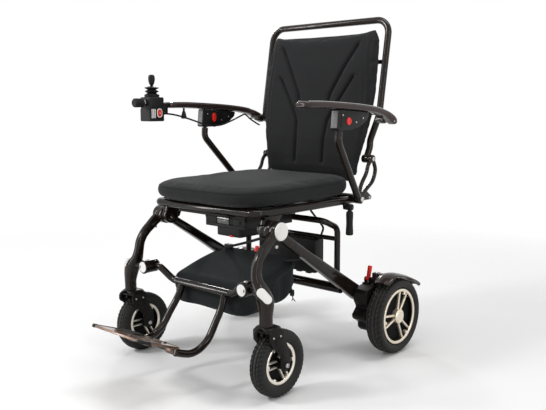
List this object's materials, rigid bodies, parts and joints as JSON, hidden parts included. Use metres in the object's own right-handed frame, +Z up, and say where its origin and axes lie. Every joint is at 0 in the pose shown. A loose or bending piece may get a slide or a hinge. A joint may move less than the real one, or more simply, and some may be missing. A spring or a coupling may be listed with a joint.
{
  "type": "folding power wheelchair",
  "caption": "Folding electric wheelchair with joystick, flip-up arms, swing-up footrest, slide-out battery, swivel casters and hub-motor rear wheels.",
  "frame": {"origin": "on the floor, under the middle of the bounding box", "axes": "+Z up, -Y is the front, +X is the occupant's left (image right in the picture)"},
  "size_m": [0.626, 0.8551, 0.9418],
  "materials": {
    "gloss_black_paint": "deep gloss black with a brown tinge",
    "satin_black_plastic": "satin black moulding",
    "tyre_rubber": "matt solid tyre",
    "champagne_alloy": "warm silver lacquered casting",
    "cream_cap": "cream white cover",
    "charcoal_cloth": "charcoal woven cover over foam",
    "bag_cloth": "black nylon cloth",
    "red_plastic": "bright red moulding",
    "plated_steel": "plated steel",
    "bronze_plate": "bronze-brown lacquer"
  },
  "bodies": {
    "chassis": {"rear_beam_left": "gloss_black_paint", "rear_beam_right": "gloss_black_paint", "rear_hoop": "gloss_black_paint", "control_box": "satin_black_plastic", "motor_bracket_left": "satin_black_plastic", "motor_bracket_right": "satin_black_plastic", "hub_motor_left": "satin_black_plastic", "hub_motor_right": "satin_black_plastic", "mudguard_left": "gloss_black_paint", "mudguard_right": "gloss_black_paint", "pivot_cap_left": "cream_cap", "pivot_cap_right": "cream_cap", "storage_bag": "bag_cloth", "seat_loom": "satin_black_plastic"},
    "front_frame": {"front_leg_left": "gloss_black_paint", "front_leg_right": "gloss_black_paint", "footrest_bracket_left": "satin_black_plastic", "footrest_bracket_right": "satin_black_plastic"},
    "footrest": {"footrest_frame": "gloss_black_paint"},
    "footplate_body": {"footplate": "bronze_plate"},
    "seat": {"seat_frame": "gloss_black_paint", "seat_cushion": "charcoal_cloth", "battery_tray": "satin_black_plastic", "back_bracket_left": "gloss_black_paint", "back_bracket_right": "gloss_black_paint"},
    "battery": {"battery_pack": "satin_black_plastic"},
    "fold_lever_body": {"fold_lever": "satin_black_plastic"},
    "back": {"back_frame": "gloss_black_paint", "back_cushion": "charcoal_cloth", "arm_cable_loop": "satin_black_plastic"},
    "arm_right": {"armrest_right": "gloss_black_paint", "arm_latch_right": "satin_black_plastic", "controller_case": "satin_black_plastic", "controller_cable": "satin_black_plastic", "joystick_boot": "satin_black_plastic"},
    "arm_left": {"armrest_left": "gloss_black_paint", "arm_latch_left": "satin_black_plastic"},
    "clamp": {"clamp_knob": "satin_black_plastic"},
    "gimbal": {"joystick_gimbal": "plated_steel"},
    "stick": {"joystick_knob": "satin_black_plastic"},
    "power": {"power_button": "red_plastic"},
    "rear_wheel_left": {"rear_tyre_left": "tyre_rubber", "rear_rim_left": "champagne_alloy"},
    "freewheel_left": {"freewheel_lever_left": "red_plastic"},
    "caster_left": {"caster_fork_left": "satin_black_plastic"},
    "caster_wheel_left": {"caster_tyre_left": "tyre_rubber", "caster_rim_left": "champagne_alloy"},
    "arm_stop_left": {"arm_hinge_left": "plated_steel"},
    "release_left": {"release_button_left": "red_plastic"},
    "strut_left": {"arm_strut_left": "gloss_black_paint"},
    "rear_wheel_right": {"rear_tyre_right": "tyre_rubber", "rear_rim_right": "champagne_alloy"},
    "freewheel_right": {"freewheel_lever_right": "red_plastic"},
    "caster_right": {"caster_fork_right": "satin_black_plastic"},
    "caster_wheel_right": {"caster_tyre_right": "tyre_rubber", "caster_rim_right": "champagne_alloy"},
    "arm_stop_right": {"arm_hinge_right": "plated_steel"},
    "release_right": {"release_button_right": "red_plastic"},
    "strut_right": {"arm_strut_right": "gloss_black_paint"}
  },
  "joints": [
    {"name": "fold", "type": "hinge", "parent": "chassis", "child": "front_frame", "pos_m": [0, -0.1035, 0.3915], "axis": [1, 0, 0], "range_deg": [0, 38], "deforming": ["storage_bag", "seat_loom"]},
    {"name": "seat_fold", "type": "hinge", "parent": "chassis", "child": "seat", "pos_m": [0, -0.1035, 0.3915], "axis": [1, 0, 0], "range_deg": [0, 76]},
    {"name": "back_fold", "type": "hinge", "parent": "seat", "child": "back", "pos_m": [0, 0.3145, 0.543], "axis": [1, 0, 0], "range_deg": [0, 96]},
    {"name": "strut_fold_left", "type": "hinge", "parent": "seat", "child": "strut_left", "pos_m": [0.2195, 0.2295, 0.438], "axis": [1, 0, 0], "range_deg": [0, 55]},
    {"name": "arm_stop_fold_left", "type": "hinge", "parent": "back", "child": "arm_stop_left", "pos_m": [0.2318, 0.3295, 0.655], "axis": [1, 0, 0], "range_deg": [-88, 0]},
    {"name": "armrest_flip_left", "type": "hinge", "parent": "arm_stop_left", "child": "arm_left", "pos_m": [0.252, 0.3295, 0.655], "axis": [1, 0, 0], "range_deg": [-90, 0]},
    {"name": "release_press_left", "type": "slide", "parent": "arm_left", "child": "release_left", "axis": [-1, 0, 0], "range_m": [0, 0.003], "stiffness_N_per_m": 300},
    {"name": "rear_wheel_spin_left", "type": "hinge", "parent": "chassis", "child": "rear_wheel_left", "pos_m": [0.288, 0.3095, 0.106], "axis": [1, 0, 0], "continuous": true},
    {"name": "freewheel_tilt_left", "type": "hinge", "parent": "chassis", "child": "freewheel_left", "pos_m": [0.2215, 0.2795, 0.206], "axis": [1, 0, 0], "range_deg": [0, 35]},
    {"name": "caster_swivel_left", "type": "hinge", "parent": "front_frame", "child": "caster_left", "pos_m": [0.2595, -0.188, 0.182], "axis": [0, 0, 1], "continuous": true},
    {"name": "caster_spin_left", "type": "hinge", "parent": "caster_left", "child": "caster_wheel_left", "pos_m": [0.2595, -0.1485, 0.0825], "axis": [1, 0, 0], "continuous": true},
    {"name": "strut_fold_right", "type": "hinge", "parent": "seat", "child": "strut_right", "pos_m": [-0.2195, 0.2295, 0.438], "axis": [1, 0, 0], "range_deg": [0, 55]},
    {"name": "arm_stop_fold_right", "type": "hinge", "parent": "back", "child": "arm_stop_right", "pos_m": [-0.2318, 0.3295, 0.655], "axis": [1, 0, 0], "range_deg": [-88, 0]},
    {"name": "armrest_flip_right", "type": "hinge", "parent": "arm_stop_right", "child": "arm_right", "pos_m": [-0.252, 0.3295, 0.655], "axis": [1, 0, 0], "range_deg": [-90, 0], "deforming": ["arm_cable_loop"]},
    {"name": "release_press_right", "type": "slide", "parent": "arm_right", "child": "release_right", "axis": [1, 0, 0], "range_m": [0, 0.003], "stiffness_N_per_m": 300},
    {"name": "rear_wheel_spin_right", "type": "hinge", "parent": "chassis", "child": "rear_wheel_right", "pos_m": [-0.288, 0.3095, 0.106], "axis": [1, 0, 0], "continuous": true},
    {"name": "freewheel_tilt_right", "type": "hinge", "parent": "chassis", "child": "freewheel_right", "pos_m": [-0.2215, 0.2795, 0.206], "axis": [1, 0, 0], "range_deg": [0, 35]},
    {"name": "caster_swivel_right", "type": "hinge", "parent": "front_frame", "child": "caster_right", "pos_m": [-0.2595, -0.188, 0.182], "axis": [0, 0, 1], "continuous": true},
    {"name": "caster_spin_right", "type": "hinge", "parent": "caster_right", "child": "caster_wheel_right", "pos_m": [-0.2595, -0.1485, 0.0825], "axis": [1, 0, 0], "continuous": true},
    {"name": "footrest_swing", "type": "hinge", "parent": "front_frame", "child": "footrest", "pos_m": [0, -0.1625, 0.257], "axis": [-1, 0, 0], "range_deg": [0, 110]},
    {"name": "footplate_flip", "type": "hinge", "parent": "footrest", "child": "footplate_body", "pos_m": [0, -0.3005, 0.104], "axis": [-1, 0, 0], "range_deg": [0, 95]},
    {"name": "battery_slide", "type": "slide", "parent": "seat", "child": "battery", "axis": [0, 1, 0], "range_m": [-0.21, 0]},
    {"name": "fold_lever_pull", "type": "hinge", "parent": "seat", "child": "fold_lever_body", "pos_m": [0.2055, 0.209, 0.4165], "axis": [1, 0, 0], "range_deg": [0, 35]},
    {"name": "clamp_turn", "type": "hinge", "parent": "arm_right", "child": "clamp", "pos_m": [-0.252, -0.1288, 0.701], "axis": [0, -1, 0], "range_deg": [0, 180]},
    {"name": "joystick_pitch", "type": "hinge", "parent": "arm_right", "child": "gimbal", "pos_m": [-0.252, -0.1035, 0.709], "axis": [1, 0, 0], "range_deg": [-18, 18], "stiffness_Nm_per_rad": 0.08, "deforming": ["joystick_boot"]},
    {"name": "joystick_roll", "type": "hinge", "parent": "gimbal", "child": "stick", "pos_m": [-0.252, -0.1035, 0.709], "axis": [0, 1, 0], "range_deg": [-18, 18], "stiffness_Nm_per_rad": 0.08, "deforming": ["joystick_boot"]},
    {"name": "power_press", "type": "slide", "parent": "arm_right", "child": "power", "axis": [-1, 0, 0], "range_m": [0, 0.0015], "stiffness_N_per_m": 300}
  ],
  "couplings": [
    {"joint": "seat_fold", "follows": "fold", "ratio": 2},
    {"joint": "back_fold", "follows": "fold", "ratio": 2.5263},
    {"joint": "strut_fold_left", "follows": "fold", "ratio": 1.4474},
    {"joint": "arm_stop_fold_left", "follows": "fold", "ratio": -2.3158},
    {"joint": "strut_fold_right", "follows": "fold", "ratio": 1.4474},
    {"joint": "arm_stop_fold_right", "follows": "fold", "ratio": -2.3158}
  ]
}
